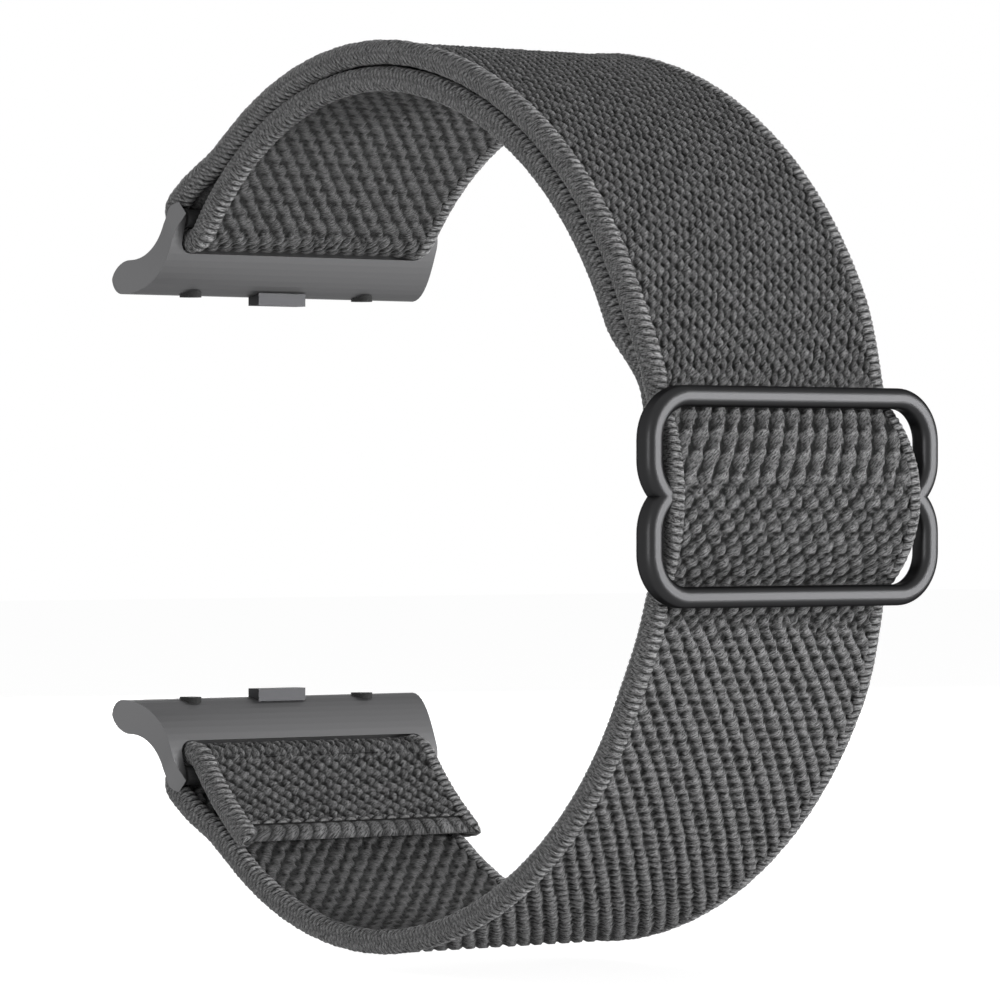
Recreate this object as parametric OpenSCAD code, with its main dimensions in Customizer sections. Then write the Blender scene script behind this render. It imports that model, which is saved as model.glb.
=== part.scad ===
// Stretch watch band: one length of woven elastic webbing, threaded through a
// figure-eight slider and sewn into loops round two sprung lug adapters.
// X runs across the band, -Y points at the slider, +Z points up the wrist loop.
// Profiles are drawn in a side plane: first value forward (to the slider), second value up.

/* [Webbing] */
// Width of the webbing
strap_w = 25; // [22:0.5:26]
// Thickness of the webbing
strap_t = 1.85; // [1.6:0.05:1.95]
// Clear gap between the two layers of webbing
layer_gap = 0.25; // [0.2:0.05:0.5]
// Radius of the running layer round the front of the wrist, at mid thickness
front_r = 35; // [33:0.5:40]
// Radius of the outer layer behind the wrist, at mid thickness
back_r = 29; // [26:0.5:31]
// Angle from the slider at which the front curve turns into the back curve
back_from = 80; // [70:1:88]
// Angle round the back curve at which the webbing meets an adapter bar
bar_at = 144.3; // [138:0.1:150]
// Angle round the back curve at which the sewn flap ends
flap_to = 125.5; // [118:0.5:132]

/* [Webbing at the slider] */
// Gap between the drawn-in webbing and each side rail of the slider
hump_side_gap = 1.7; // [1.6:0.1:2.4]
// Thickness of the webbing where it is pulled tight over the centre bar
hump_t = 1.6; // [1.3:0.05:1.7]
// Radius of the webbing over the centre bar, at mid thickness
hump_r = 10; // [9:0.25:12]
// How far the top of that curve stands in front of the running layer
hump_rise = 2.2; // [2:0.05:2.6]
// Radius of the webbing where it dips behind a slider bar
dip_r = 5; // [4.5:0.25:6.5]
// How much narrower the sewn end loop is than the webbing over it, on each side
end_loop_inset = 1; // [0.9:0.1:2]
// Thickness of the pressed webbing in the end loop
end_loop_t = 1.1; // [0.9:0.05:1.15]
// How far the sewn tail reaches above the centre bar
end_tail = 4.6; // [3.6:0.1:5]

/* [Slider] */
// How far the slider reaches past each edge of the webbing
slider_over = 2.4; // [2.2:0.1:3.5]
// Distance from the centre bar to the middle of an outer bar
slider_pitch = 7.5; // [7.3:0.05:8]
// Width of a slider bar, seen from the front
slider_bar_w = 1.6; // [1.4:0.05:1.7]
// Depth of a slider bar, front to back
slider_bar_d = 1.9; // [1.6:0.05:2]
// Rounding of the slider bar's long edges
slider_edge_r = 0.6; // [0.4:0.05:0.7]
// Radius of the slider's corners at mid bar
slider_corner_r = 3.3; // [3:0.1:3.5]
// How far the slider's middle plane stands in front of the running layer
slider_stand = 1.75; // [1.7:0.05:2.2]
// Diameter of the centre bar
centre_bar_d = 1.2; // [1:0.05:1.3]
// Diameter of the cranked ends that carry the centre bar
crank_d = 1.3; // [1.2:0.05:1.5]
// Gap between the end loop and each cranked end
crank_gap = 0.15; // [0.1:0.05:0.3]

/* [Adapter] */
// How far the tongue reaches past each arm
tongue_over = 1.4; // [1:0.1:2]
// Thickness of the tongue
tongue_t = 2.8; // [2.7:0.05:3.2]
// Thickness of the adapter's arm at each side of the webbing
arm_t = 1; // [0.8:0.05:1.6]
// Diameter of the bar that the webbing is looped on
bar_d = 1.5; // [1.3:0.05:1.6]
// Distance from the bar to the end of the tongue, away from the wrist
tongue_out = 4.7; // [4.4:0.1:5.4]
// Distance from the bar to the end of the tongue, towards the watch
tongue_in = 4.7; // [4.4:0.1:5.4]
// Gap between the webbing and each arm of the adapter
arm_gap = 0.4; // [0.2:0.05:0.6]
// Rounding of the corners of the webbing slot
slot_corner_r = 1.2; // [0.6:0.1:1.6]
// Rounding of the outer corners beside the bar
arm_corner_r = 2.6; // [1:0.1:2.8]
// How far each arm runs on past the bar
arm_past = 0.6; // [0.3:0.1:0.9]
// Radius of the adapter's hollow flanks
flank_r = 16; // [12:0.5:22]

/* [Latch] */
// Width of the latch pocket along the tongue
pocket_w = 7; // [6.4:0.2:9]
// How far the pocket lies forward of the tongue's middle
pocket_forward = 0.9; // [0.7:0.05:1]
// Width of the latch pocket across the tongue
pocket_y = 2.2; // [2:0.05:2.4]
// Thickness of the lip that holds the latch tab in
lip_t = 0.6; // [0.4:0.05:0.7]
// Width of the tab's nose along the tongue
nose_w = 4.9; // [4:0.1:5.6]
// Width of the tab's nose across the tongue
nose_y = 1.4; // [1.1:0.05:1.5]
// How far the tab's nose stands out of the tongue
nose_out = 0.7; // [0.4:0.05:0.8]
// Thickness of the tab's flange and of the cover plate
plate_t = 0.5; // [0.4:0.05:0.6]
// Outer diameter of a latch spring
spring_d = 1.3; // [1:0.05:1.5]
// Wire diameter of a latch spring
spring_wire = 0.22; // [0.15:0.01:0.26]
// Distance between the two latch springs
spring_span = 4.4; // [3.6:0.1:5]
// Diameter of a rubber pad
pad_d = 1.8; // [1.4:0.1:2]
// Depth of a rubber pad's hole
pad_hole = 0.9; // [0.6:0.05:1.1]
// How far a rubber pad stands out of the tongue
pad_out = 0.15; // [0.1:0.05:0.3]
// Distance between the two rubber pads
pad_span = 18; // [14:0.5:24]

/* [Sewing] */
// Diameter of the sewing thread
thread_d = 0.4; // [0.3:0.05:0.5]
// Number of stitches across the hem
hem_stitches = 16; // [10:1:20]
// Number of stitches across the end loop
loop_stitches = 14; // [8:1:18]
// Distance from the flap's end to its row of stitches
hem_inset = 0.9; // [0.6:0.1:1.4]
// How far a stitch stands proud of the webbing
stitch_proud = 0.12; // [0.08:0.02:0.2]

/* [Fits] */
// Running clearance round a bar inside its webbing loop
bar_clear = 0.1; // [0.05:0.05:0.15]
// Clearance between the webbing loop and the adapter's neck
neck_clear = 0.15; // [0.1:0.05:0.25]
// Sliding clearance of the latch tab
tab_clear = 0.05; // [0.03:0.01:0.08]
// Travel of the slider along the webbing, each way, in degrees of the front curve
travel = 20; // [10:1:24]

/* [Hidden] */
$fn = 48;

webbing = [0.36, 0.36, 0.37];
thread = [0.30, 0.30, 0.31];
dark_metal = [0.16, 0.16, 0.17];
adapter_metal = [0.42, 0.42, 0.43];
spring_steel = [0.62, 0.62, 0.64];
pad_rubber = [0.10, 0.10, 0.10];

// Left open where a straight stretch of webbing meets a curved one
hairline = 0.002;

function along(a) = [cos(a), sin(a)];

// The two curves of the wrist loop: the front one about the origin, the back one about back_c
layer_pitch = strap_t + layer_gap;
back_c = (front_r - back_r) * along(back_from);
inner_front_r = front_r - layer_pitch;
inner_back_r = back_r - layer_pitch;

// Adapter bar, with the webbing's turn round it and the straight run out to the outer layer
bar_r = bar_d / 2;
turn_r = bar_r + bar_clear + strap_t / 2;
slot_w = strap_w + 2 * arm_gap;
arm_w = slot_w + 2 * arm_t;
bar_c = back_c + (inner_back_r + turn_r) * along(bar_at);
leave_at = bar_at - acos((back_r - turn_r) / (inner_back_r + turn_r));

// Webbing over the centre bar, and the dips that tuck it behind the outer bars
hump_c = [front_r + hump_rise - hump_r, 0];
dip_x = (hump_c[0] * hump_c[0] + pow(front_r + dip_r, 2) - pow(hump_r + dip_r, 2)) / (2 * hump_c[0]);
dip_c = [dip_x, sqrt(pow(front_r + dip_r, 2) - dip_x * dip_x)];
dip_front_a = atan2(dip_c[1], dip_c[0]);
dip_hump_a = atan2(dip_c[1] - hump_c[1], dip_c[0] - hump_c[0]);
slack_to = dip_front_a + travel + 4;

// The slider, and the webbing that it draws in
slider_w = strap_w + 2 * slider_over;
hump_w = slider_w - 2 * (slider_bar_w + hump_side_gap);
end_loop_w = hump_w - 2 * end_loop_inset;

// Centre bar and the end loop round it
centre_bar_r = centre_bar_d / 2;
end_turn_r = centre_bar_r + bar_clear + end_loop_t / 2;
centre_bar_x = front_r + hump_rise - hump_t / 2 - bar_clear - end_turn_r - end_loop_t / 2;
end_leave_a = acos((inner_front_r + end_turn_r) / centre_bar_x);
end_tail_a = 17;
slider_x = front_r + slider_stand;

// The slider's side rails lean in to the waist over this angle and height
waist_a = 56;
waist_h = slider_corner_r * sin(waist_a);
waist_extra_a = 14;

// Tongue of the adapter, with its latch pocket
tongue_c = bar_c - [tongue_out, tongue_in];
tongue_w = arm_w + 2 * tongue_over;
pocket_x = tongue_c[0] + pocket_forward;
slot_r = turn_r + strap_t / 2 + neck_clear;
flange_h = tongue_t - lip_t - 2 * plate_t;

// The overall box is centred on the origin
front_x = front_r + hump_rise + hump_t / 2;
rear_x = tongue_c[0] - tongue_t / 2;
loop_shift = (front_x + rear_x) / 2;

// Stands a side-plane drawing up in the model: forward becomes -Y, up becomes +Z
module side_plane() {
    translate([0, loop_shift, 0]) rotate([90, 0, -90]) children();
}

module lower_half() {
    mirror([0, 0, 1]) children();
}

// Cross-section of the webbing: flat faces and full round selvedges
module web_section(w, t) {
    square([t, w - t], center = true);
    for (side = [-1, 1]) translate([0, side * (w - t) / 2]) circle(d = t);
}

module web_arc(c, r, from, to, w = strap_w, t = strap_t) {
    translate([c[0], c[1], 0]) rotate([0, 0, from]) rotate_extrude(angle = to - from)
        translate([r, 0]) web_section(w, t);
}

module web_line(from, to, w = strap_w, t = strap_t) {
    run = to - from;
    translate([from[0], from[1], 0]) rotate([0, 0, atan2(run[1], run[0])]) rotate([90, 0, 90])
        translate([0, 0, hairline]) linear_extrude(norm(run) - 2 * hairline) web_section(w, t);
}

// Single layer from the slack to an adapter bar
module outer_run() {
    web_arc([0, 0], front_r, slack_to, back_from);
    web_arc(back_c, back_r, back_from, leave_at);
    web_line(back_c + back_r * along(leave_at), bar_c + turn_r * along(leave_at));
}

module bar_turn() {
    web_arc(bar_c, turn_r, leave_at, 180 + bar_at);
}

module strap_lower_run() {
    color(webbing) lower_half() side_plane() outer_run();
}

module strap_outer_layer() {
    color(webbing) side_plane() outer_run();
}

module strap_upper_loop() {
    color(webbing) side_plane() bar_turn();
}

module strap_lower_loop() {
    color(webbing) lower_half() side_plane() bar_turn();
}

// The end of the webbing, past the lower bar, sewn down inside the band
module strap_lower_flap() {
    color(webbing) lower_half() side_plane() web_arc(back_c, inner_back_r, flap_to, bar_at);
}

module strap_inner_layer() {
    color(webbing) side_plane() {
        web_arc([0, 0], inner_front_r, slack_to, back_from);
        web_arc(back_c, inner_back_r, back_from, bar_at);
    }
}

module strap_outer_slack() {
    color(webbing) side_plane() web_arc([0, 0], front_r, dip_front_a, slack_to);
}

module strap_lower_slack() {
    color(webbing) lower_half() side_plane() web_arc([0, 0], front_r, dip_front_a, slack_to);
}

module strap_inner_slack() {
    color(webbing) side_plane() web_arc([0, 0], inner_front_r, dip_front_a, slack_to);
}

module strap_over_bar() {
    color(webbing) side_plane() {
        web_arc(hump_c, hump_r, -dip_hump_a, dip_hump_a, hump_w, hump_t);
        for (half = [0, 1]) mirror([0, half, 0])
            web_arc(dip_c, dip_r, 180 + dip_front_a, 180 + dip_hump_a, hump_w, hump_t);
    }
}

// The inner layer comes down behind the centre bar, turns under it and is sewn to itself above
module strap_end_loop() {
    bar_at_front = [centre_bar_x, 0];
    back_start = inner_front_r * along(end_leave_a);
    back_end = bar_at_front - end_turn_r * along(end_leave_a);
    tail_start = bar_at_front + end_turn_r * along(end_tail_a);
    tail_run = (end_tail - tail_start[1]) / cos(end_tail_a);
    color(webbing) side_plane() {
        web_arc([0, 0], inner_front_r, end_leave_a, dip_front_a, end_loop_w, end_loop_t);
        web_line(back_start, back_end, end_loop_w, end_loop_t);
        web_arc(bar_at_front, end_turn_r, end_leave_a - 180, end_tail_a, end_loop_w, end_loop_t);
        web_line(tail_start, tail_start + tail_run * [-sin(end_tail_a), cos(end_tail_a)],
                 end_loop_w, end_loop_t);
    }
}

// A row of stitches through both layers, spread over the width of the webbing
module stitch_row(at, dir, inner, outer, count, w) {
    step = (w - 2 * strap_t) / (count - 1);
    for (i = [0 : count - 1])
        translate([at[0], at[1], (i - (count - 1) / 2) * step]) rotate([0, 0, dir])
            translate([inner - stitch_proud, 0, 0]) rotate([0, 90, 0])
                cylinder(d = thread_d, h = outer - inner + 2 * stitch_proud);
}

module lower_hem_stitches() {
    inset_a = flap_to + hem_inset / inner_back_r * 180 / PI;
    line_out = back_r / cos(inset_a - leave_at);
    outer = (inset_a > leave_at ? line_out : back_r) + strap_t / 2;
    color(thread) lower_half() side_plane()
        stitch_row(back_c, inset_a, inner_back_r - strap_t / 2, outer, hem_stitches, strap_w);
}

// Height of the end loop's stitches, as a share of the tail's
loop_row_share = 0.72;

module end_loop_stitches() {
    height = end_tail * loop_row_share;
    back = centre_bar_x - end_turn_r - end_loop_t / 2 - height * sin(end_leave_a);
    front = centre_bar_x + (end_turn_r + end_loop_t / 2) / cos(end_tail_a) - height * tan(end_tail_a);
    color(thread) side_plane()
        stitch_row([0, height], 0, back, front, loop_stitches, end_loop_w);
}

// Cross-section of a slider bar, with softened long edges
module bar_section() {
    flat_w = slider_bar_w - 2 * slider_edge_r;
    flat_d = slider_bar_d - 2 * slider_edge_r;
    square([slider_bar_w, flat_d], center = true);
    square([flat_w, slider_bar_d], center = true);
    for (a = [-1, 1], b = [-1, 1]) translate([a * flat_w / 2, b * flat_d / 2]) circle(r = slider_edge_r);
}

// Upper ring of the figure eight, open at the waist, seen from the front
module slider_ring() {
    side_x = (slider_w - slider_bar_w) / 2;
    corner_x = side_x - slider_corner_r;
    translate([-corner_x, slider_pitch, 0]) rotate([90, 0, 90]) linear_extrude(2 * corner_x) bar_section();
    for (side = [0, 1]) mirror([side, 0, 0]) {
        translate([corner_x, slider_pitch - slider_corner_r, 0]) rotate_extrude(angle = 90)
            translate([slider_corner_r, 0]) bar_section();
        translate([side_x, slider_pitch - slider_corner_r, 0]) rotate([90, 0, 0])
            linear_extrude(slider_pitch - slider_corner_r - waist_h) bar_section();
        translate([side_x - slider_corner_r, waist_h, 0]) rotate([0, 0, -waist_a - waist_extra_a])
            rotate_extrude(angle = waist_a + waist_extra_a) translate([slider_corner_r, 0]) bar_section();
    }
}

module slider_frame() {
    knot_x = (slider_w - slider_bar_w) / 2 - slider_corner_r * (1 - cos(waist_a));
    elbow_x = end_loop_w / 2 + crank_gap + crank_d / 2;
    crank = [elbow_x - knot_x, centre_bar_x - slider_x + (slider_bar_d - crank_d) / 2];
    color(dark_metal) translate([0, loop_shift, 0]) {
        translate([0, -slider_x, 0]) rotate([90, 0, 0]) for (half = [0, 1]) mirror([0, half, 0]) {
            intersection() {
                slider_ring();
                translate([-slider_w, 0, -slider_w]) cube(2 * slider_w);
            }
        }
        translate([-elbow_x, -centre_bar_x, 0]) rotate([0, 90, 0])
            cylinder(d = centre_bar_d, h = 2 * elbow_x);
        for (side = [-1, 1]) {
            translate([side * elbow_x, -centre_bar_x, 0]) sphere(d = crank_d);
            translate([side * elbow_x, -centre_bar_x, 0]) rotate([90, 0, 0])
                rotate([0, side * atan2(-crank[0], -crank[1]), 0]) cylinder(d = crank_d, h = norm(crank));
        }
    }
}

// Middle line of the adapter's S-shaped section, from the tongue's end to the bar.
// Its two bends are placed by shares of the tongue's distance from the bar.
low_bend = [0.45, 1];
high_bend = [0.15, 0.48];
s_slope_step = 0.01;
function from_bar(share) = bar_c - [tongue_out * share[0], tongue_in * share[1]];
function s_curve(t) =
    pow(1 - t, 3) * tongue_c
    + 3 * t * pow(1 - t, 2) * from_bar(low_bend)
    + 3 * t * t * (1 - t) * from_bar(high_bend)
    + pow(t, 3) * bar_c;
function s_normal(t) =
    let (d = s_curve(t + s_slope_step) - s_curve(t - s_slope_step)) [-d[1], d[0]] / norm(d);
function s_half(t) = tongue_t / 2 + (bar_r - tongue_t / 2) * t * t * (3 - 2 * t);
s_steps = 14;

module s_section() {
    side_a = [for (i = [0 : s_steps]) let (t = i / s_steps) s_curve(t) + s_half(t) * s_normal(t)];
    side_b = [for (i = [s_steps : -1 : 0]) let (t = i / s_steps) s_curve(t) - s_half(t) * s_normal(t)];
    polygon(concat(side_a, side_b));
    translate(tongue_c) circle(d = tongue_t);
    translate(bar_c) circle(d = bar_d);
    translate(bar_c - [bar_r, 0]) square([bar_d, arm_past]);
    translate(bar_c + [0, arm_past]) circle(d = bar_d);
}

// Outline of the adapter seen square to its slope: drawn in at the flanks, rounded beside the bar
arm_end_share = 0.18;

module adapter_outline() {
    slope = norm([tongue_out, tongue_in]);
    arm_end = arm_end_share * slope;
    arm_start = -bar_r - arm_past;
    difference() {
        translate([arm_start, -tongue_w / 2]) square([slope - arm_start + tongue_t, tongue_w]);
        for (side = [-1, 1]) {
            translate([arm_end, side * (arm_w / 2 + flank_r)]) circle(r = flank_r, $fn = 160);
            translate([arm_start - hairline, side * arm_w / 2 - (side > 0 ? 0 : tongue_w)])
                square([arm_end - arm_start + hairline, tongue_w]);
            translate([arm_start, side * (arm_w / 2)]) difference() {
                square(2 * arm_corner_r, center = true);
                translate([arm_corner_r, -side * arm_corner_r]) circle(r = arm_corner_r);
            }
        }
    }
}

module adapter_blank() {
    intersection() {
        translate([0, 0, -tongue_w / 2]) linear_extrude(tongue_w) s_section();
        translate([bar_c[0], bar_c[1], 0]) rotate([0, 0, 180 + atan2(tongue_in, tongue_out)])
            rotate([90, 0, 0]) translate([0, 0, -tongue_w / 2]) linear_extrude(tongue_w) adapter_outline();
    }
}

// The slot for the webbing is turned round the bar, so the neck keeps its clearance as it swings
module webbing_slot() {
    translate([bar_c[0], bar_c[1], 0]) rotate_extrude() difference() {
        translate([0, -slot_w / 2]) square([slot_r, slot_w]);
        for (side = [-1, 1]) translate([slot_r, side * slot_w / 2]) difference() {
            square(2 * slot_corner_r, center = true);
            translate([-slot_corner_r, -side * slot_corner_r]) circle(r = slot_corner_r);
        }
    }
}

// Drawn at the middle of the pocket, with up pointing out of the open side of the tongue
module at_pocket() {
    translate([pocket_x, tongue_c[1], 0]) children();
}

module upright_box(x, y, z, from) {
    translate([-x / 2, from, -z / 2]) cube([x, y, z]);
}

module adapter() {
    difference() {
        adapter_blank();
        webbing_slot();
        at_pocket() {
            upright_box(pocket_y, tongue_t, pocket_w, lip_t - tongue_t / 2);
            upright_box(nose_y + 2 * tab_clear, tongue_t, nose_w + 2 * tab_clear, -tongue_t);
            for (side = [-1, 1]) translate([0, -tongue_t / 2, side * pad_span / 2]) rotate([-90, 0, 0])
                translate([0, 0, -tongue_t]) cylinder(d = pad_d, h = tongue_t + pad_hole);
        }
    }
    translate([bar_c[0], bar_c[1], -arm_w / 2 + arm_corner_r / 2]) cylinder(d = bar_d, h = arm_w - arm_corner_r);
}

module latch_tab() {
    at_pocket() {
        upright_box(pocket_y - 2 * tab_clear, plate_t, pocket_w - 2 * tab_clear, lip_t - tongue_t / 2);
        upright_box(nose_y, nose_out + lip_t + plate_t / 2, nose_w, -tongue_t / 2 - nose_out);
    }
}

module latch_cover() {
    at_pocket() upright_box(pocket_y, plate_t, pocket_w, tongue_t / 2 - plate_t);
}

// One coil spring standing on the origin, as an unbroken tube of round wire
spring_turns = 3;
spring_ring_steps = 14;
wire_sides = 6;

module coil_spring(h) {
    mid_r = (spring_d - spring_wire) / 2;
    rings = spring_turns * spring_ring_steps;
    rise = h - spring_wire;
    points = [for (i = [0 : rings]) let (a = 360 * i / spring_ring_steps, up = spring_wire / 2 + rise * i / rings)
        for (k = [0 : wire_sides - 1]) let (b = 360 * k / wire_sides, out = mid_r + spring_wire / 2 * cos(b))
            [out * cos(a), out * sin(a), up + spring_wire / 2 * sin(b)]];
    walls = [for (i = [0 : rings - 1]) for (k = [0 : wire_sides - 1])
        let (n = (k + 1) % wire_sides, p = i * wire_sides, q = p + wire_sides)
            each [[p + k, q + k, q + n], [p + k, q + n, p + n]]];
    start = [for (k = [1 : wire_sides - 2]) [0, k, k + 1]];
    end = [for (k = [1 : wire_sides - 2]) rings * wire_sides * [1, 1, 1] + [0, k + 1, k]];
    polyhedron(points, concat(walls, start, end));
}

module latch_springs() {
    at_pocket() for (side = [-1, 1])
        translate([0, lip_t + plate_t - tongue_t / 2, side * spring_span / 2]) rotate([-90, 0, 0])
            coil_spring(flange_h);
}

module tongue_pads() {
    at_pocket() for (side = [-1, 1])
        translate([0, -tongue_t / 2 - pad_out, side * pad_span / 2]) rotate([-90, 0, 0])
            cylinder(d = pad_d, h = pad_hole + pad_out);
}

module upper_adapter() { color(adapter_metal) side_plane() adapter(); }
module upper_latch_tab() { color(spring_steel) side_plane() latch_tab(); }
module upper_latch_springs() { color(spring_steel) side_plane() latch_springs(); }
module upper_latch_cover() { color(adapter_metal) side_plane() latch_cover(); }
module upper_tongue_pads() { color(pad_rubber) side_plane() tongue_pads(); }
module lower_adapter() { color(adapter_metal) lower_half() side_plane() adapter(); }
module lower_latch_tab() { color(spring_steel) lower_half() side_plane() latch_tab(); }
module lower_latch_springs() { color(spring_steel) lower_half() side_plane() latch_springs(); }
module lower_latch_cover() { color(adapter_metal) lower_half() side_plane() latch_cover(); }
module lower_tongue_pads() { color(pad_rubber) lower_half() side_plane() tongue_pads(); }

strap_lower_run();
strap_lower_loop();
strap_lower_flap();
lower_hem_stitches();
strap_outer_layer();
strap_upper_loop();
strap_inner_layer();
strap_lower_slack();
strap_outer_slack();
strap_inner_slack();
strap_over_bar();
strap_end_loop();
end_loop_stitches();
slider_frame();
upper_adapter();
upper_latch_tab();
upper_latch_springs();
upper_latch_cover();
upper_tongue_pads();
lower_adapter();
lower_latch_tab();
lower_latch_springs();
lower_latch_cover();
lower_tongue_pads();
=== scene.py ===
import math
import bpy
import numpy as np
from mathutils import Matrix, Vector


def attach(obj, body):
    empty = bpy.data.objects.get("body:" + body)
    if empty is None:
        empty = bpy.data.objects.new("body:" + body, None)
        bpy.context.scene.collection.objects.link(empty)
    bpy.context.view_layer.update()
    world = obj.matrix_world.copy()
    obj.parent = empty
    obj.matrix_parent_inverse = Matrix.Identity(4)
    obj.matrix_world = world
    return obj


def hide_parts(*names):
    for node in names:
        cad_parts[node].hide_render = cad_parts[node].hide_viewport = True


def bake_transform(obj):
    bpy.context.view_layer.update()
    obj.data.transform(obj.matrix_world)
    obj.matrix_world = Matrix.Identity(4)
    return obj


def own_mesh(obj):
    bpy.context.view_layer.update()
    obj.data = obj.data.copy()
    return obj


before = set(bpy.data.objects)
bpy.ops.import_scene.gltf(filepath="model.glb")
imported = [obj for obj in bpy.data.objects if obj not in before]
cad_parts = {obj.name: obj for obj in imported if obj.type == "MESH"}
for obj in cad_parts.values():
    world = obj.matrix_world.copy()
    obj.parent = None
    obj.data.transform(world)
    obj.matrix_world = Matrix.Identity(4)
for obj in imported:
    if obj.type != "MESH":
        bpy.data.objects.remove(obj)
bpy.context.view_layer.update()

# Sizes in millimetres, in the side plane: p points forward to the slider, z points up.
STRAP_W, STRAP_T, LAYER_GAP = 25.0, 1.85, 0.25
FRONT_R, BACK_R, BACK_FROM, BAR_AT, FLAP_TO = 35.0, 29.0, 80.0, 144.3, 125.5
HUMP_R, HUMP_T, HUMP_RISE, DIP_R = 10.0, 1.6, 2.2, 5.0
END_W, END_T, END_TAIL, END_TAIL_A = 21.2, 1.1, 4.6, 17.0
BAR_R, CENTRE_BAR_R, BAR_CLEAR = 0.75, 0.6, 0.1
TONGUE_OUT, TONGUE_T = 4.7, 2.8
# From one swelling of the sewn hem to the next
RIB = 1.42
# Where the hem's groove and stitches lie along the path, and where the hem ends
HEM_AT, HEM_END = 1.5, 1.9
# The webbing over the centre bar: wider by this at the top, narrowing with the square of the distance
HUMP_OVER, HUMP_TAPER, HUMP_REACH = 0.4, 0.0168, 7.4


def along(a):
    return np.array([math.cos(math.radians(a)), math.sin(math.radians(a))])


PITCH = STRAP_T + LAYER_GAP
BACK_C = (FRONT_R - BACK_R) * along(BACK_FROM)
IN_FRONT_R, IN_BACK_R = FRONT_R - PITCH, BACK_R - PITCH
TURN_R = BAR_R + BAR_CLEAR + STRAP_T / 2
BAR_C = BACK_C + (IN_BACK_R + TURN_R) * along(BAR_AT)
LEAVE_AT = BAR_AT - math.degrees(math.acos((BACK_R - TURN_R) / (IN_BACK_R + TURN_R)))
HUMP_X = FRONT_R + HUMP_RISE - HUMP_R
DIP_X = (HUMP_X ** 2 + (FRONT_R + DIP_R) ** 2 - (HUMP_R + DIP_R) ** 2) / (2 * HUMP_X)
DIP_Z = math.sqrt((FRONT_R + DIP_R) ** 2 - DIP_X ** 2)
DIP_FRONT_A = math.degrees(math.atan2(DIP_Z, DIP_X))
DIP_HUMP_A = math.degrees(math.atan2(DIP_Z, DIP_X - HUMP_X))
END_TURN_R = CENTRE_BAR_R + BAR_CLEAR + END_T / 2
CENTRE_X = FRONT_R + HUMP_RISE - HUMP_T / 2 - BAR_CLEAR - END_TURN_R - END_T / 2
END_LEAVE_A = math.degrees(math.acos((IN_FRONT_R + END_TURN_R) / CENTRE_X))
FRONT_X = FRONT_R + HUMP_RISE + HUMP_T / 2
REAR_X = BAR_C[0] - TONGUE_OUT - TONGUE_T / 2
SHIFT = (FRONT_X + REAR_X) / 2
# Half the width of the flat weave between the two selvedges
FLAT_HALF = STRAP_W / 2 - STRAP_T / 2
LINE_POINTS = 12


def to_frame(x, p, z):
    """Side-plane millimetres to the row frame in metres."""
    return np.stack([x, SHIFT - p, z], axis=-1) / 1000


class Path:
    """One continuous run of webbing from the sewn flap to the end loop's tail, as points and normals in
    the side plane. The normal always points out of the same face."""

    def __init__(self):
        self.p, self.n, self.marks, self.s = [], [], {}, 0.0

    def mark(self, name):
        self.marks[name] = self.s

    def _add(self, pts, nrm, length):
        if self.p:
            pts, nrm = pts[1:], nrm[1:]
        self.p.append(pts)
        self.n.append(nrm)
        self.s += length

    def arc(self, c, r, a0, a1, side):
        k = max(3, int(abs(a1 - a0) * r / 2) + 2)
        a = np.radians(np.linspace(a0, a1, k))
        d = np.stack([np.cos(a), np.sin(a)], 1)
        self._add(np.array(c) + r * d, side * d, abs(math.radians(a1 - a0)) * r)

    def line(self, a, b, n):
        a, b = np.array(a), np.array(b)
        t = np.linspace(0, 1, LINE_POINTS)[:, None]
        normals = np.repeat(np.array([n]), LINE_POINTS, 0)
        self._add((1 - t) * a + t * b, normals, float(np.linalg.norm(b - a)))

    def done(self):
        self.p, self.n = np.concatenate(self.p), np.concatenate(self.n)
        step = np.linalg.norm(np.diff(self.p, axis=0), axis=1)
        self.at = np.concatenate([[0], np.cumsum(step)]) * self.s / step.sum()
        self.turn = np.unwrap(np.arctan2(self.n[:, 1], self.n[:, 0]))

    def __call__(self, s):
        a = np.interp(s, self.at, self.turn)
        p = np.interp(s, self.at, self.p[:, 0])
        z = np.interp(s, self.at, self.p[:, 1])
        return p, z, np.cos(a), np.sin(a)


def down(v):
    return np.array([v[0], -v[1]])


web = Path()
web.mark("flap_end")
web.arc(down(BACK_C), IN_BACK_R, -FLAP_TO, -BAR_AT, -1)
web.mark("low_turn")
web.arc(down(BAR_C), TURN_R, -180 - BAR_AT, -LEAVE_AT, 1)
web.mark("low_leave")
bar_end = BAR_C + TURN_R * along(LEAVE_AT)
back_end = BACK_C + BACK_R * along(LEAVE_AT)
web.line(down(bar_end), down(back_end), along(-LEAVE_AT))
web.arc(down(BACK_C), BACK_R, -LEAVE_AT, -BACK_FROM, 1)
web.arc([0, 0], FRONT_R, -BACK_FROM, -DIP_FRONT_A, 1)
web.mark("low_dip")
web.arc([DIP_X, -DIP_Z], DIP_R, -180 - DIP_FRONT_A, -180 - DIP_HUMP_A, -1)
web.arc([HUMP_X, 0], HUMP_R, -DIP_HUMP_A, 0, 1)
web.mark("top")
web.arc([HUMP_X, 0], HUMP_R, 0, DIP_HUMP_A, 1)
web.arc([DIP_X, DIP_Z], DIP_R, 180 + DIP_HUMP_A, 180 + DIP_FRONT_A, -1)
web.mark("up_dip")
web.arc([0, 0], FRONT_R, DIP_FRONT_A, BACK_FROM, 1)
web.mark("up_back")
web.arc(BACK_C, BACK_R, BACK_FROM, LEAVE_AT, 1)
web.line(back_end, bar_end, along(LEAVE_AT))
web.mark("up_turn")
web.arc(BAR_C, TURN_R, LEAVE_AT, 180 + BAR_AT, 1)
web.mark("in_start")
web.arc(BACK_C, IN_BACK_R, BAR_AT, BACK_FROM, -1)
web.mark("in_front")
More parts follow.
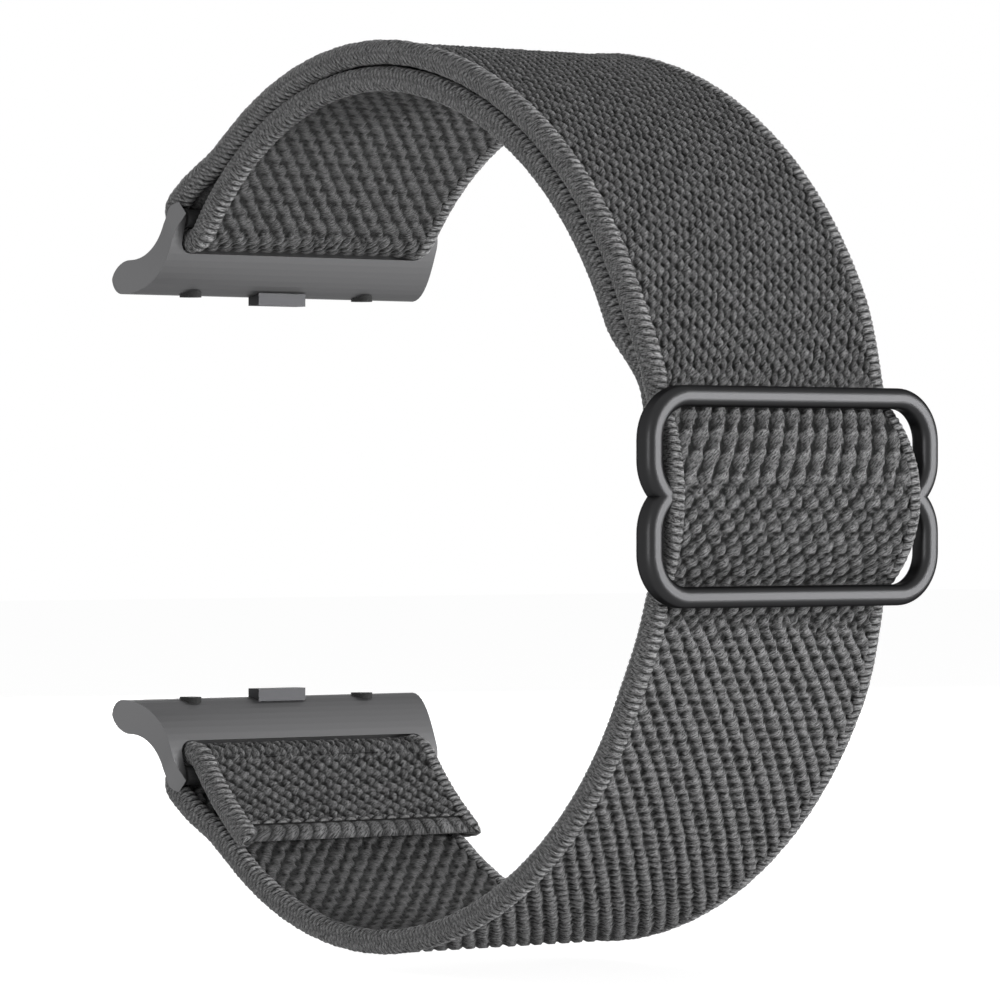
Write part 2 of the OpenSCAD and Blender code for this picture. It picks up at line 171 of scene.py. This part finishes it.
web.arc([0, 0], IN_FRONT_R, BACK_FROM, DIP_FRONT_A, -1)
web.mark("in_dip")
web.arc([0, 0], IN_FRONT_R, DIP_FRONT_A, END_LEAVE_A, -1)
centre_bar = np.array([CENTRE_X, 0])
leave_dir = along(END_LEAVE_A)
web.line(IN_FRONT_R * leave_dir, centre_bar - END_TURN_R * leave_dir, -leave_dir)
web.arc(centre_bar, END_TURN_R, END_LEAVE_A - 180, END_TAIL_A, 1)
tail_start = centre_bar + END_TURN_R * along(END_TAIL_A)
tail_dir = along(END_TAIL_A + 90)
tail_to = tail_start + tail_dir * (END_TAIL - tail_start[1]) / math.cos(math.radians(END_TAIL_A))
web.line(tail_start, tail_to, along(END_TAIL_A))
web.mark("tail_end")
web.done()
M = web.marks


def smooth(x, a, b):
    t = np.clip((x - a) / (b - a), 0, 1)
    return t * t * (3 - 2 * t)


def within(s, a, b, c, d):
    """Rises from 0 to 1 between a and b, and falls back to 0 between c and d."""
    return smooth(s, a, b) * (1 - smooth(s, c, d))


def wobble(k, seed):
    """A fixed pseudo-random value from -1 to 1 for each whole number."""
    return 2 * np.modf(np.abs(np.sin(k * 12.9898 + seed * 78.233) * 43758.5453))[0] - 1


def half_width(s):
    hump = STRAP_W / 2 + HUMP_OVER - HUMP_TAPER * np.minimum(np.abs(s - M["top"]), HUMP_REACH) ** 2
    on_hump = within(s, M["low_dip"] - 8, M["low_dip"] + 0.5, M["up_dip"] - 0.5, M["up_dip"] + 8)
    w = STRAP_W / 2 + (hump - STRAP_W / 2) * on_hump + 0.5 * spread(s)
    return w - (STRAP_W - END_W) / 2 * smooth(s, M["in_dip"] - 6, M["in_dip"])


def thickness(s):
    t = np.full_like(s, STRAP_T)
    onto_hump = smooth(s, M["low_dip"] - 1, M["low_dip"] + 1.5)
    off_hump = smooth(s, M["up_dip"] - 1.5, M["up_dip"] + 1)
    t = t - (STRAP_T - HUMP_T) * onto_hump * (1 - off_hump)
    t = t - (STRAP_T - END_T) * smooth(s, M["in_dip"] - 5, M["in_dip"])
    for end, sign in ((0.0, 1), (M["tail_end"], -1)):
        r = STRAP_T / 2 if sign > 0 else END_T / 2
        near = np.clip(1 - (s - end) * sign / r, 0, 1)
        t = t * np.sqrt(np.clip(1 - near ** 2, 0.02, 1))
    return t


def stray(x, s, seed):
    """Slow uneven drift of the yarns, in millimetres."""
    return 0.05 * (np.sin(2.9 * x + 1.7 * s + seed) + np.sin(1.8 * x - 3.3 * s + 2 * seed)
                   + np.sin(5.7 * x + 4.9 * s + 3 * seed))


def ropes(x, s, across, row, shift, pits, seed, peak=0.66, bulge=0.07, chain=0.22, fat=1.7):
    """Twisted yarns side by side, as heights from 0 to 1. They lie across apart, and each moves by shift
    over one row. The pits between them, sunk and painted dark as shade, are given as
    (depth, phase, row part, width, height)."""
    x, s = x + stray(x, s, seed), s + stray(s, x, seed + 5)
    v = s / row
    k = (x - shift * v) / across
    beat = 2 * math.pi * (v - 0.5 * (k - np.floor(k)))
    k = k + bulge * np.sin(beat + 1.2) + 0.35 * bulge * np.sin(2 * beat)
    cell, phase = np.floor(k), k - np.floor(k)
    up = np.where(phase < peak, phase / peak, (1 - phase) / (1 - peak))
    h = 1 - (1 - up) ** (fat + 0.9 * (phase > peak))
    h = h * (1 - chain * (0.5 - 0.5 * np.cos(beat)))
    for depth, at, part, wide, high in pits:
        pv = v - part
        dp = phase - at
        dp = dp - np.round(dp)
        hollow = np.exp(-(dp / wide) ** 2 - ((pv - np.round(pv)) / high) ** 2)
        uneven = 1 + 0.25 * wobble(cell * 7 + np.round(pv) * 3, seed)
        h = h * (1 - np.minimum(depth * hollow * uneven, 1))
    return np.clip(h, 0, 1)


def knots(x, s, across, step, lean, half_w, half_l, seed, under, cycle, tilt=0.16, loose=0.55):
    """Small rounded loops on a lattice, as heights from 0 to 1.
    Rows lie step[1] apart and shift by step[0]; lean is the loop's long axis.
    Each loop has a fold beside it, sunk and painted dark as shade, given by under: (to x, to s, width,
    height).
    Successive rows take their loop size and depth of fold from cycle."""
    best, fold = np.zeros_like(x), np.zeros_like(x)
    x, s = x + loose * stray(x, s, seed), s + 0.7 * loose * stray(s, x, seed + 5)
    sizes, depths = np.array(cycle).T
    row0 = np.round(s / step[1])
    d = math.hypot(*lean)
    lx, ls = lean[0] / d, lean[1] / d
    reach = int(math.ceil(half_l * ls / step[1]))
    for dr in range(-reach, reach + 1):
        row = row0 + dr
        kind = np.mod(row, len(cycle)).astype(int)
        size = sizes[kind]
        col0 = np.round((x - row * step[0]) / across)
        for dc in (-1, 0, 1):
            col = col0 + dc
            ex = x - col * across - row * step[0] + 0.07 * loose * wobble(col * 7 + row * 3, seed)
            es = s - row * step[1] + 0.10 * loose * wobble(col * 5 + row * 13, seed + 1)
            near = (ex * lx + es * ls) / (half_l * size)
            wide = half_w * size * (1 + 0.15 * wobble(col * 3 + row * 17, seed + 3))
            over = (ex * ls - es * lx) / wide
            round_off = np.clip(1 - over ** 2 - np.abs(near) ** 2.4, 0, 1) ** 0.7
            tall = 0.92 + 0.08 * wobble(col * 5 + row * 11, seed + 2)
            # tilt lifts one side of each loop, and the colour follows: that side painted lighter, the other
            # darker as shade
            best = np.maximum(best, round_off * (1 - tilt + tilt * over) * tall)
            hollow = np.exp(-((ex - under[0]) / under[2]) ** 2 - ((es - under[1]) / under[3]) ** 2)
            fold = np.maximum(fold, hollow * depths[kind])
    return np.clip(best * 1.1 * (1 - np.minimum(fold, 1)), 0, 1)


# Size of the loops and depth of their folds, row after row
TRIPLE = [(1.12, 1.3), (0.98, 0.9), (0.94, 0.4)]
PAIR = [(1.0, 1.1), (0.84, 0.5)]


def pebbles(x, s):
    return 0.01 + 0.94 * knots(
        x, s, across=1.39, step=(-0.463, 0.54), lean=(0.56, 1.0), half_w=0.41, half_l=0.74, seed=1,
        under=(0.45, 0.30, 0.20, 0.19), cycle=TRIPLE, tilt=0.24)


def flap_pebbles(x, s):
    return 0.96 * knots(
        x, s, across=1.45, step=(-0.483, 0.60), lean=(0.75, 1.0), half_w=0.46, half_l=0.74, seed=2,
        under=(0.42, 0.36, 0.27, 0.16), cycle=TRIPLE, tilt=0.24)


def hooks(x, s):
    return 0.04 + 1.15 * knots(
        x - 1.0, s, across=1.50, step=(0.98, 0.86), lean=(0.55, 1.0), half_w=0.66, half_l=0.84, seed=3,
        under=(0.22, -0.48, 0.38, 0.15), cycle=PAIR, tilt=0.34, loose=0.9)


def cords(x, s):
    pits = [(1.0, 0.15, 0.45, 0.21, 0.24)]
    return 0.11 + 1.16 * ropes(
        x, s, across=1.40, row=0.85, shift=-0.70, pits=pits, seed=4, chain=0.48, peak=0.64, fat=1.8,
        bulge=0.08)


def hump_cords(x, s):
    pits = [(1.0, 0.10, 0.30, 0.20, 0.15), (0.6, 0.36, 0.42, 0.25, 0.13)]
    return 0.09 + 0.92 * ropes(
        x, s, across=1.50, row=1.66, shift=0.90, pits=pits, seed=7, chain=0.36, bulge=0.06, peak=0.70,
        fat=1.9)


def inner_cords(x, s):
    pits = [(1.0, 0.24, 0.20, 0.15, 0.13), (1.0, 0.24, 0.58, 0.15, 0.13)]
    return 0.16 + 0.52 * ropes(
        x, s, across=1.50, row=1.55, shift=-1.50, pits=pits, seed=12, chain=0.15, peak=0.70, bulge=0.09)


def lump(x):
    """The swellings between the stitches that pull the hem down."""
    return np.abs(np.cos(math.pi * x / RIB)) ** 0.6


def hem(x, s):
    """The sewn edge of the flap: a rolled border with a groove behind it, sunk and painted dark as shade.
    """
    groove = np.exp(-((s - HEM_AT) / 0.22) ** 2)
    uneven = 0.9 + 0.16 * wobble(np.round(x / RIB), 4)
    yarn = 0.85 + 0.15 * ropes(x, s, across=0.47, row=0.7, shift=0.2, pits=[], seed=21)
    return uneven * (0.24 + 0.56 * lump(x)) * yarn * (1 - 0.85 * groove)


def spread(s):
    """How far the webbing splays round the ends of the adapter arms, from 0 to 1."""
    at_upper, at_lower = M["up_turn"], M["low_leave"]
    upper = within(s, at_upper - 6, at_upper - 1.5, at_upper + 0.5, at_upper + 3)
    lower = within(s, at_lower - 3, at_lower - 0.5, at_lower + 1.5, at_lower + 6)
    return upper + lower


def border(x):
    """The groove where the weave meets the selvedge, sunk and painted dark as shade."""
    return 1 - 0.95 * smooth(np.abs(x), FLAT_HALF - 0.62, FLAT_HALF - 0.3)


# The weaves in turn: the mark at which each takes over, and how many millimetres later
WEAVES = [
    (flap_pebbles, "flap_end", 0.0),
    (pebbles, "low_turn", 0.0),
    (cords, "low_leave", 1.0),
    (hooks, "low_dip", -1.5),
    (hump_cords, "top", 1.0),
    (pebbles, "up_dip", 0.0),
    (inner_cords, "in_start", 0.0),
]


def front_relief(x, s):
    """Heights of the face that shows outside on the outer layer, from 0 to 1."""
    out, edge = np.zeros_like(x), s + 6 * stray(x, s, 9)
    for i, (weave, name, later) in enumerate(WEAVES):
        share = np.ones_like(s) if i == 0 else smooth(edge, M[name] + later - 0.5, M[name] + later + 0.5)
        if i + 1 < len(WEAVES):
            after = M[WEAVES[i + 1][1]] + WEAVES[i + 1][2]
            share = share * (1 - smooth(edge, after - 0.5, after + 0.5))
        if share.max() > 0:
            out = out + share * weave(x, s)
    sewn = 1 - smooth(s, HEM_AT, HEM_END)
    return np.clip(border(x) * (sewn * hem(x, s) + (1 - sewn) * out), 0, 1)


def back_relief(x, s):
    return border(x) * (inner_cords(x, s + 0.4) - 0.05)


def new_mesh(name, points, faces, uv, relief_shade):
    """A smooth mesh of quads, with its place on the webbing as UV, and as an attribute the values from
    which the material paints shade: the relief of the faces, the tone of the selvedges.
    """
    mesh = bpy.data.meshes.new(name)
    mesh.vertices.add(len(points))
    mesh.vertices.foreach_set("co", points.astype(np.float32).ravel())
    loops = faces.ravel().astype(np.int32)
    mesh.loops.add(len(loops))
    mesh.loops.foreach_set("vertex_index", loops)
    mesh.polygons.add(len(faces))
    mesh.polygons.foreach_set("loop_start", np.arange(len(faces), dtype=np.int32) * 4)
    mesh.update(calc_edges=True)
    mesh.polygons.foreach_set("use_smooth", np.ones(len(faces), bool))
    layer = mesh.uv_layers.new(name="millimetres")
    layer.data.foreach_set("uv", uv[loops].astype(np.float32).ravel())
    a = mesh.attributes.new("relief_shade", "FLOAT", "POINT")
    a.data.foreach_set("value", relief_shade.astype(np.float32).ravel())
    mesh.validate()
    obj = bpy.data.objects.new(name, mesh)
    bpy.context.scene.collection.objects.link(obj)
    return obj


def tube_faces(rows, cols, ends=True):
    """Quads over a grid whose columns close on themselves, with both ends folded shut if asked."""
    i, j = np.meshgrid(np.arange(rows - 1), np.arange(cols), indexing="ij")
    a, b = i * cols + j, i * cols + (j + 1) % cols
    walls = np.stack([a, b, b + cols, a + cols], -1).reshape(-1, 4)
    if not ends:
        return walls
    half = cols // 2
    k = np.arange(half - 1)
    first = np.stack([k, cols - 1 - k, cols - 2 - k, k + 1], -1)
    last = first[:, ::-1] + (rows - 1) * cols
    return np.concatenate([walls, first, last])


# Depth of the weave, and how far the webbing lifts where it splays
RELIEF, SPLAY = 0.42, 0.15
# Points across a face with its weave, and across one that is out of sight
FINE, PLAIN = 184, 10
# Keeps the fibres of the two faces apart in the texture
BACK_UV = 40


def ribbon(name, s0, s1, step, fine_back, mat):
    """The flat part of the webbing between its selvedges, from s0 to s1 along the path."""
    s = np.linspace(s0, s1, max(4, int((s1 - s0) / step) + 1))
    half, t = half_width(s), thickness(s)
    n_back = FINE if fine_back else PLAIN
    across = np.concatenate([np.linspace(-1, 1, FINE), np.linspace(1, -1, n_back)])
    face = np.concatenate([np.ones(FINE), -np.ones(n_back)])
    inner = (half - t / 2 + 0.05)[:, None]
    x = across[None, :] * inner
    ss = np.repeat(s[:, None], len(across), 1)
    pat_x = across[None, :] * FLAT_HALF * np.ones_like(inner)
    h = np.full_like(x, 0.5)
    h[:, :FINE] = front_relief(pat_x[:, :FINE], ss[:, :FINE])
    if fine_back:
        h[:, FINE:] = back_relief(pat_x[:, FINE:], ss[:, FINE:])
    set_back = np.where(face[None, :] > 0, 0.16 * (1 - lump(pat_x)), 0.6)
    p, z, a, b = web(ss + set_back * (1 - smooth(ss, 0, 1.4)))
    depth = RELIEF * (1 - h) * np.clip(t[:, None] / STRAP_T, 0.3, 1)
    reach = face[None, :] * (t[:, None] / 2 - depth) + SPLAY * spread(ss)
    pts = to_frame(x, p + a * reach, z + b * reach)
    uv = np.stack([pat_x + BACK_UV * (face[None, :] < 0), ss], -1).reshape(-1, 2)
    faces = tube_faces(len(s), len(across), s0 == 0 or s1 == M["tail_end"])
    obj = new_mesh(name, pts.reshape(-1, 3), faces, uv, h)
    obj.data.materials.append(mat)
    return obj


EDGE_STEP, EDGE_COLS = 0.1, 28
# From one turn of the wrapping thread to the next, and from one binding stitch to the next
THREAD, BINDING = 0.44, 0.59
# Where the stitches bind the selvedge to the two faces, in degrees round its section
BOUND_AT = (88, 272)


def selvedge(name, side, s0, s1, mat):
    """The round corded edge of the webbing, wrapped in fine thread and bound to both faces by stitches."""
    s = np.linspace(s0, s1, max(6, int((s1 - s0) / EDGE_STEP) + 1))
    th = np.linspace(0, 2 * math.pi, EDGE_COLS, endpoint=False)
    half, t = half_width(s), thickness(s)
    r = (t / 2)[:, None] * np.ones((1, EDGE_COLS))
    ss = s[:, None]
    wound = ss / THREAD + 1.5 * np.abs(np.sin(th))[None, :] + 0.2 * np.sin(ss * 1.7)
    wrap = np.abs(np.sin(math.pi * wound))
    r = r - 0.07 * (1 - wrap)
    toward = np.cos(th)[None, :]
    # painted shade: the colour is darker between the turns of the wrapping thread
    shade = 0.34 + 0.42 * wrap
    scale = np.clip(t[:, None] / STRAP_T, 0.4, 1)
    for centre in BOUND_AT:
        spot = np.exp(-np.abs((th[None, :] - math.radians(centre)) / 0.60) ** 4)
        bead = np.abs(np.cos(math.pi * (ss / BINDING - 0.25 * np.cos(th)[None, :]))) ** 0.8
        crease_at = math.radians(180 + (centre - 180) * 0.46)
        crease = np.exp(-((th[None, :] - crease_at) / 0.28) ** 2)
        r = r + (spot * (0.20 * bead - 0.12) - 0.10 * crease) * scale
        # painted light and shade: pale on the binding beads, dark between them and in the crease beside
        # each row
        shade = (shade * (1 - spot) + spot * (1.25 * bead - 0.1)) * (1 - 0.9 * crease)
    x = side * ((half - t / 2)[:, None] + r * toward * np.where(toward < 0, 1.35, 1))
    p, z, a, b = (v[:, None] for v in web(s))
    reach = r * np.sin(th)[None, :] + SPLAY * spread(ss)
    pts = to_frame(x, p + a * reach, z + b * reach)
    u = (th * 0.92)[None, :] * np.ones_like(ss) + 90
    uv = np.stack([u, ss * np.ones_like(r)], -1).reshape(-1, 2)
    faces = tube_faces(len(s), EDGE_COLS, s0 == 0 or s1 == M["tail_end"])
    if side > 0:
        faces = faces[:, ::-1]
    obj = new_mesh(name, pts.reshape(-1, 3), faces, uv, np.clip(shade, 0, 1))
    obj.data.materials.append(mat)
    return obj


def material(name, color, rough, metal=0.0):
    """A plain material made of shader nodes, with its node tree and its main shader."""
    m = bpy.data.materials.new(name)
    m.use_nodes = True
    b = m.node_tree.nodes["Principled BSDF"]
    b.inputs["Base Color"].default_value = (*color, 1)
    b.inputs["Roughness"].default_value = rough
    b.inputs["Metallic"].default_value = metal
    return m, m.node_tree, b


def cloth(name, shade_color, high, slant):
    """Dull spun yarn: streaky fibres along the slant, with shade painted into the colour where the relief
    is deep.
    """
    m, tree, b = material(name, high, 0.85)
    nodes, link = tree.nodes, tree.links.new
    b.inputs["Specular IOR Level"].default_value = 0.25
    b.inputs["Sheen Weight"].default_value = 0.08
    b.inputs["Sheen Roughness"].default_value = 0.5
    uv = nodes.new("ShaderNodeUVMap")
    uv.uv_map = "millimetres"
    turn = nodes.new("ShaderNodeVectorRotate")
    turn.rotation_type = "Z_AXIS"
    turn.inputs["Angle"].default_value = slant
    link(uv.outputs["UV"], turn.inputs["Vector"])
    stretch = nodes.new("ShaderNodeVectorMath")
    stretch.operation = "MULTIPLY"
    stretch.inputs[1].default_value = (2.2, 10.0, 1.0)
    link(turn.outputs["Vector"], stretch.inputs[0])
    fibre = nodes.new("ShaderNodeTexNoise")
    fibre.inputs["Scale"].default_value = 1.0
    fibre.inputs["Detail"].default_value = 2.0
    fibre.inputs["Distortion"].default_value = 0.6
    link(stretch.outputs["Vector"], fibre.inputs["Vector"])
    fuzz = nodes.new("ShaderNodeTexNoise")
    fuzz.inputs["Scale"].default_value = 7.0
    fuzz.inputs["Detail"].default_value = 3.0
    link(uv.outputs["UV"], fuzz.inputs["Vector"])
    both = nodes.new("ShaderNodeMix")
    both.data_type = "FLOAT"
    both.inputs["Factor"].default_value = 0.3
    link(fibre.outputs["Fac"], both.inputs["A"])
    link(fuzz.outputs["Fac"], both.inputs["B"])
    tone = nodes.new("ShaderNodeValToRGB")
    tone.color_ramp.elements[0].position = 0.39
    tone.color_ramp.elements[0].color = (0.28, 0.28, 0.28, 1)
    tone.color_ramp.elements[1].position = 0.61
    tone.color_ramp.elements[1].color = (1.85, 1.85, 1.85, 1)
    link(both.outputs["Result"], tone.inputs["Fac"])
    relief_shade = nodes.new("ShaderNodeAttribute")
    relief_shade.attribute_name = "relief_shade"
    # painted shade: the colour falls from the yarn's own colour on the tops to near black in the deepest
    # relief
    ramp = nodes.new("ShaderNodeValToRGB")
    ramp.color_ramp.elements[0].position = 0.22
    ramp.color_ramp.elements[0].color = (*shade_color, 1)
    ramp.color_ramp.elements[1].position = 0.95
    ramp.color_ramp.elements[1].color = (*high, 1)
    link(relief_shade.outputs["Fac"], ramp.inputs["Fac"])
    shade = nodes.new("ShaderNodeMix")
    shade.data_type = "RGBA"
    shade.blend_type = "MULTIPLY"
    shade.inputs["Factor"].default_value = 1.0
    link(ramp.outputs["Color"], shade.inputs["A"])
    link(tone.outputs["Color"], shade.inputs["B"])
    link(shade.outputs["Result"], b.inputs["Base Color"])
    bump = nodes.new("ShaderNodeBump")
    bump.inputs["Strength"].default_value = 0.9
    bump.inputs["Distance"].default_value = 0.00012
    link(both.outputs["Result"], bump.inputs["Height"])
    link(bump.outputs["Normal"], b.inputs["Normal"])
    return m


def satin(name, color, rough, metal, grain):
    """Metal or rubber with a fine grain."""
    m, tree, b = material(name, color, rough, metal)
    b.inputs["Specular Tint"].default_value = (0.35, 0.35, 0.35, 1)
    nodes, link = tree.nodes, tree.links.new
    co = nodes.new("ShaderNodeTexCoord")
    noise = nodes.new("ShaderNodeTexNoise")
    noise.inputs["Scale"].default_value = 1400.0
    noise.inputs["Detail"].default_value = 3.0
    link(co.outputs["Object"], noise.inputs["Vector"])
    bump = nodes.new("ShaderNodeBump")
    bump.inputs["Strength"].default_value = grain
    bump.inputs["Distance"].default_value = 0.00002
    link(noise.outputs["Fac"], bump.inputs["Height"])
    link(bump.outputs["Normal"], b.inputs["Normal"])
    return m


# first colour of each cloth: painted shade for the deepest relief; second: the yarn's own colour
face_cloth = cloth("face_cloth", (0.004, 0.004, 0.004), (0.19, 0.19, 0.192), -0.6)
edge_cloth = cloth("edge_cloth", (0.006, 0.006, 0.006), (0.250, 0.250, 0.252), 0.15)
sewing = cloth("sewing", (0.05, 0.05, 0.05), (0.19, 0.19, 0.19), 0.3)
adapter_mat = satin("adapter_metal", (0.155, 0.155, 0.158), 0.42, 0.9, 0.15)
slider_mat = satin("slider_metal", (0.034, 0.034, 0.035), 0.43, 1.0, 0.06)
latch_mat = satin("latch_steel", (0.04, 0.04, 0.042), 0.5, 0.9, 0.05)
pad_mat = satin("pad_rubber", (0.03, 0.03, 0.03), 0.75, 0.0, 0.3)

# The moving stretches beside the slider are listed with two bodies and two points, between this angle and
# the dip
BLEND_FROM = 58
BODIES = ("strap", "slider_webbing")
LOW_BLEND = (BODIES, (FRONT_R * along(-BLEND_FROM), FRONT_R * along(-DIP_FRONT_A)))
UP_BLEND = (BODIES, (FRONT_R * along(BLEND_FROM), FRONT_R * along(DIP_FRONT_A)))
IN_BLEND = (BODIES, (IN_FRONT_R * along(BLEND_FROM), IN_FRONT_R * along(DIP_FRONT_A)))
mid_low = M["low_leave"] + 36

# The webbing, in pieces of one continuous length:
# name, from, to, row step, weave on the back too, body or blend, nodes that it replaces
PIECES = [
    ("web_flap", 0.0, M["low_turn"], 0.12, False, "strap", ["strap_lower_flap"]),
    ("web_lower_turn", M["low_turn"], M["low_leave"], 0.14, False, "strap", ["strap_lower_loop"]),
    ("web_lower_back", M["low_leave"], mid_low, 0.15, True, "strap", ["strap_lower_run"]),
    ("web_lower_front", mid_low, M["low_dip"], 0.15, True, LOW_BLEND, ["strap_lower_slack"]),
    ("web_over_bar", M["low_dip"], M["up_dip"], 0.1, True, "slider_webbing", ["strap_over_bar"]),
    ("web_outer_front", M["up_dip"], M["up_back"], 0.12, False, UP_BLEND, ["strap_outer_slack"]),
    ("web_outer_back", M["up_back"], M["up_turn"], 0.12, False, "strap", ["strap_outer_layer"]),
    ("web_upper_turn", M["up_turn"], M["in_start"], 0.14, False, "strap", ["strap_upper_loop"]),
    ("web_inner_back", M["in_start"], M["in_front"], 0.15, False, "strap", ["strap_inner_layer"]),
    ("web_inner_front", M["in_front"], M["in_dip"], 0.15, False, IN_BLEND, ["strap_inner_slack"]),
    ("web_end_loop", M["in_dip"], M["tail_end"], 0.16, False, "slider_webbing", ["strap_end_loop"]),
]


def place(obj, how, nodes):
    """Ties a piece of webbing to its body; given two bodies with a blend instead, only fixes its transform
    into the mesh.
    """
    if isinstance(how, str):
        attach(obj, how)
    else:
        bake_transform(obj)
    if nodes:
        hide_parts(*nodes)


for name, s0, s1, step, fine_back, how, nodes in PIECES:
    place(ribbon(name, s0, s1, step, fine_back, face_cloth), how, nodes)
    for side, word in ((-1, "left"), (1, "right")):
        place(selvedge(name + "_edge_" + word, side, s0, s1, edge_cloth), how, [])


def stitches(name, s_at, count, width, length, radius, lift, body, nodes):
    """A row of short round threads across the band, each a little capsule sunk in at both ends."""
    pts, faces, uvs = [], [], []
    rows, cols = 7, 8
    base = tube_faces(rows, cols)
    u = np.linspace(-1, 1, rows)
    rr = radius * np.sqrt(np.clip(1 - u ** 2, 0.05, 1))
    th = np.linspace(0, 2 * math.pi, cols, endpoint=False)
    sa = np.array([s_at])
    p, z, a, b = (float(v[0]) for v in web(sa))
    top = float(thickness(sa)[0]) / 2 + lift
    out = top + rr[:, None] * np.cos(th)[None, :] - 0.12 * (u ** 2)[:, None]
    side = rr[:, None] * np.sin(th)[None, :]
    for i in range(count):
        xc = (i - (count - 1) / 2) * width / (count - 1)
        x = xc + (u * length / 2)[:, None] * np.ones((1, cols))
        pts.append(to_frame(x, p + a * out - b * side, z + b * out + a * side).reshape(-1, 3))
        faces.append(base + i * rows * cols)
        uvs.append(np.stack([x, side * 3 + s_at], -1).reshape(-1, 2))
    uvs = np.concatenate(uvs)
    obj = new_mesh(name, np.concatenate(pts), np.concatenate(faces), uvs, np.ones(len(uvs)))
    obj.data.materials.append(sewing)
    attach(obj, body)
    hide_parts(*nodes)


stitches("hem_stitches", s_at=HEM_AT, count=16, width=STRAP_W - 2 * STRAP_T, length=0.95, radius=0.13,
         lift=-0.06, body="strap", nodes=["lower_hem_stitches"])
stitches("loop_stitches", s_at=M["in_dip"] + 5.2, count=14, width=END_W - 3, length=0.9, radius=0.11,
         lift=-0.02, body="slider_webbing", nodes=["end_loop_stitches"])

looks = {
    "slider_frame": slider_mat,
    "upper_adapter": adapter_mat, "lower_adapter": adapter_mat,
    "upper_latch_cover": adapter_mat, "lower_latch_cover": adapter_mat,
    "upper_latch_tab": latch_mat, "lower_latch_tab": latch_mat,
    "upper_latch_springs": latch_mat, "lower_latch_springs": latch_mat,
    "upper_tongue_pads": pad_mat, "lower_tongue_pads": pad_mat,
}
for name, mat in looks.items():
    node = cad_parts[name]
    node.data.materials.clear()
    node.data.materials.append(mat)
for word, up in (("upper", 1), ("lower", -1)):
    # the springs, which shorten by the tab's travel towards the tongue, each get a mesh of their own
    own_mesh(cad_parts[word + "_latch_springs"])


# Stage: pale floor that keeps a soft shadow, soft lights, white behind
def seen_directly(tree):
    """1 for camera, glossy and transmission rays, so that metal shows the same white as the camera sees."""
    rays = tree.nodes.new("ShaderNodeLightPath")
    total = rays.outputs["Is Camera Ray"]
    for kind in ("Is Glossy Ray", "Is Transmission Ray"):
        both = tree.nodes.new("ShaderNodeMath")
        both.operation = "MAXIMUM"
        tree.links.new(total, both.inputs[0])
        tree.links.new(rays.outputs[kind], both.inputs[1])
        total = both.outputs["Value"]
    return total


floor_mat, floor_tree, floor_b = material("floor", (0.8, 0.8, 0.8), 0.9)
floor_b.inputs["Specular IOR Level"].default_value = 0.0
white = floor_tree.nodes.new("ShaderNodeEmission")
white.inputs["Color"].default_value = (1, 1, 1, 1)
white.inputs["Strength"].default_value = 1.8
share = floor_tree.nodes.new("ShaderNodeMath")
share.operation = "MULTIPLY"
share.inputs[1].default_value = 0.5
floor_tree.links.new(seen_directly(floor_tree), share.inputs[0])
mix = floor_tree.nodes.new("ShaderNodeMixShader")
floor_tree.links.new(share.outputs["Value"], mix.inputs["Fac"])
floor_tree.links.new(floor_b.outputs["BSDF"], mix.inputs[1])
floor_tree.links.new(white.outputs["Emission"], mix.inputs[2])
floor_tree.links.new(mix.outputs["Shader"], floor_tree.nodes["Material Output"].inputs["Surface"])
FLOOR_Z = -0.0372
bpy.ops.mesh.primitive_plane_add(size=3, location=(0, 0, FLOOR_Z))
floor = bpy.context.object
floor.name = "floor"
floor.data.materials.append(floor_mat)

world = bpy.data.worlds.new("studio")
bpy.context.scene.world = world
world.use_nodes = True
back = world.node_tree.nodes["Background"]
back.inputs["Color"].default_value = (1, 1, 1, 1)
fill = world.node_tree.nodes.new("ShaderNodeMix")
fill.data_type = "FLOAT"
fill.inputs["A"].default_value = 0.20
fill.inputs["B"].default_value = 1.0
world.node_tree.links.new(seen_directly(world.node_tree), fill.inputs["Factor"])
world.node_tree.links.new(fill.outputs["Result"], back.inputs["Strength"])


def lamp(name, at, size, power):
    """A round area light that faces the middle of the band."""
    data = bpy.data.lights.new(name, "AREA")
    data.shape = "DISK"
    data.size = size
    data.energy = power
    obj = bpy.data.objects.new(name, data)
    obj.location = at
    obj.rotation_euler = (-Vector(at)).to_track_quat("-Z", "Y").to_euler()
    bpy.context.scene.collection.objects.link(obj)


lamp("key", (0.44, -0.50, 0.00), 0.20, 5.6)
lamp("side", (-0.60, -0.20, -0.04), 0.30, 2.9)
lamp("top", (-0.10, 0.10, 0.60), 0.40, 0.1)
lamp("back", (0.20, 0.62, 0.08), 0.40, 4.0)

# The photo's view: level, from this many degrees off the front, with a long lens
CAMERA_A, CAMERA_LENS, CAMERA_FAR = 40, 226.4, 0.5
camera = bpy.data.objects.new("camera", bpy.data.cameras.new("camera"))
bpy.context.scene.collection.objects.link(camera)
camera.data.sensor_width = 36
camera.data.lens = CAMERA_LENS
turn = math.radians(CAMERA_A)
look = Vector((math.sin(turn), math.cos(turn), 0))
camera.location = Vector((0, SHIFT - 2.76, -0.24)) / 1000 - look * CAMERA_FAR
camera.rotation_mode = "QUATERNION"
camera.rotation_quaternion = look.to_track_quat("-Z", "Y")
camera.data.clip_start, camera.data.clip_end = 0.01, 10
bpy.context.scene.camera = camera
bpy.context.scene.view_settings.view_transform = "Standard"
